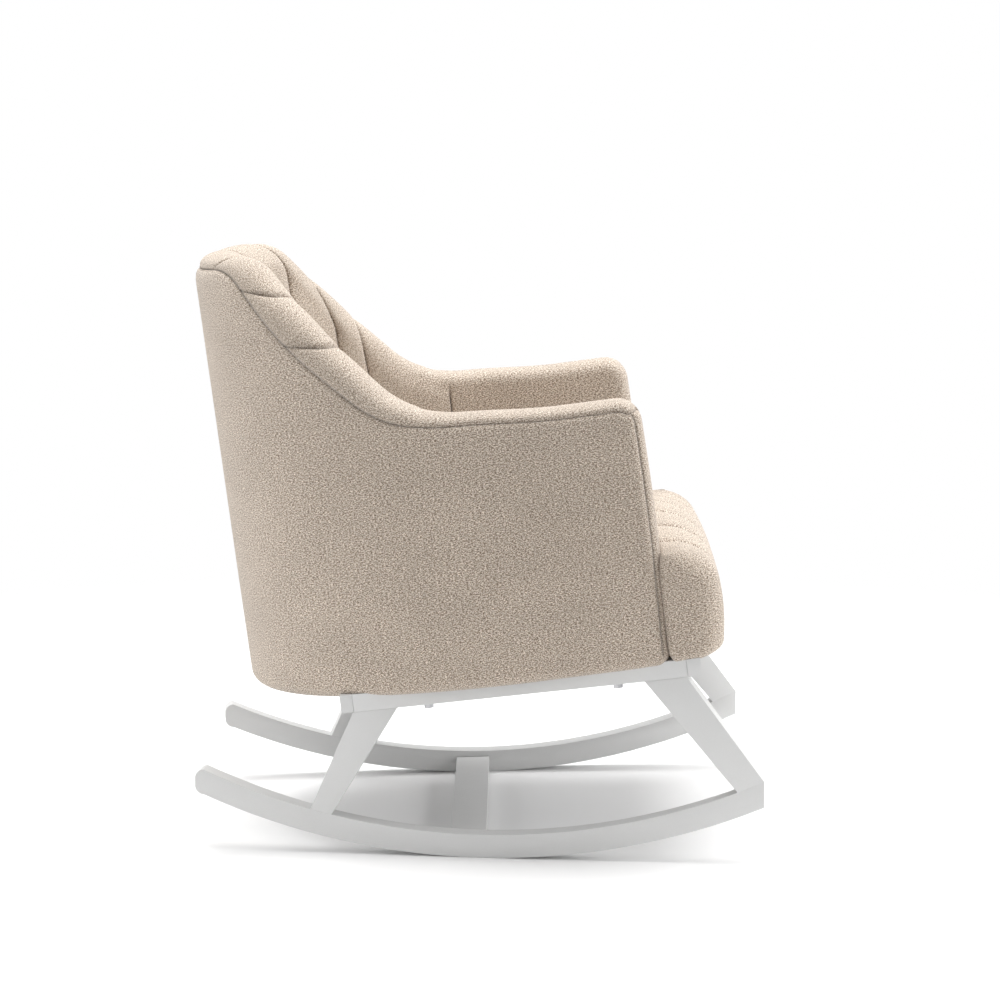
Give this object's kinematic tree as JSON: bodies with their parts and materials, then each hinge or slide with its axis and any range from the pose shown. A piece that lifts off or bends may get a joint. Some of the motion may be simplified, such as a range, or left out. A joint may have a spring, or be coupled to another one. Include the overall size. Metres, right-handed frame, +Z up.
{
  "type": "upholstered rocking chair",
  "caption": "Upholstered tub armchair with a channelled back and a full-width seat, tipped back on a painted wooden base with curved rockers.",
  "frame": {"origin": "on the floor, in the middle of the chair's outline across and from front to back", "axes": "+Z is up; -Y is the way the sitter faces; +X is the chair's left-to-right, square to the middle plane"},
  "size_m": [0.6796, 0.8431, 0.8621],
  "materials": {
    "painted_wood": "satin",
    "bare_wood": "matte",
    "plywood": "matte",
    "fibreboard": "matte",
    "upholstery": "matte",
    "foam": "matte",
    "felt": "matte",
    "lining": "matte",
    "steel": "satin"
  },
  "bodies": {
    "root": {"runner_left": "painted_wood", "front_leg_left": "painted_wood", "rear_leg_left": "painted_wood", "side_rail_left": "painted_wood", "runner_right": "painted_wood", "front_leg_right": "painted_wood", "rear_leg_right": "painted_wood", "side_rail_right": "painted_wood", "front_cross_rail": "painted_wood", "rear_cross_rail": "painted_wood", "stretcher": "painted_wood", "leg_dowels": "bare_wood", "stretcher_dowels": "bare_wood", "cross_rail_screws": "steel", "seat_bolts": "steel", "bolt_washers": "steel", "threaded_inserts": "steel", "seat_springs": "steel", "spring_clips": "steel", "felt_pads": "felt", "spring_insulator": "felt", "dust_cover": "lining", "outside_cover": "upholstery", "back_cover": "upholstery", "seat_cover": "upholstery", "arm_cover_left": "upholstery", "arm_cover_right": "upholstery", "back_foam": "foam", "seat_foam": "foam", "arm_foam_left": "foam", "arm_foam_right": "foam", "back_liner": "fibreboard", "arm_liner_left": "fibreboard", "arm_liner_right": "fibreboard", "back_panel": "plywood", "arm_panel_left": "plywood", "arm_panel_right": "plywood", "seat_rail_left": "bare_wood", "seat_rail_right": "bare_wood", "seat_rail_front": "bare_wood", "seat_rail_back": "bare_wood", "corner_blocks": "bare_wood"}
  },
  "joints": []
}
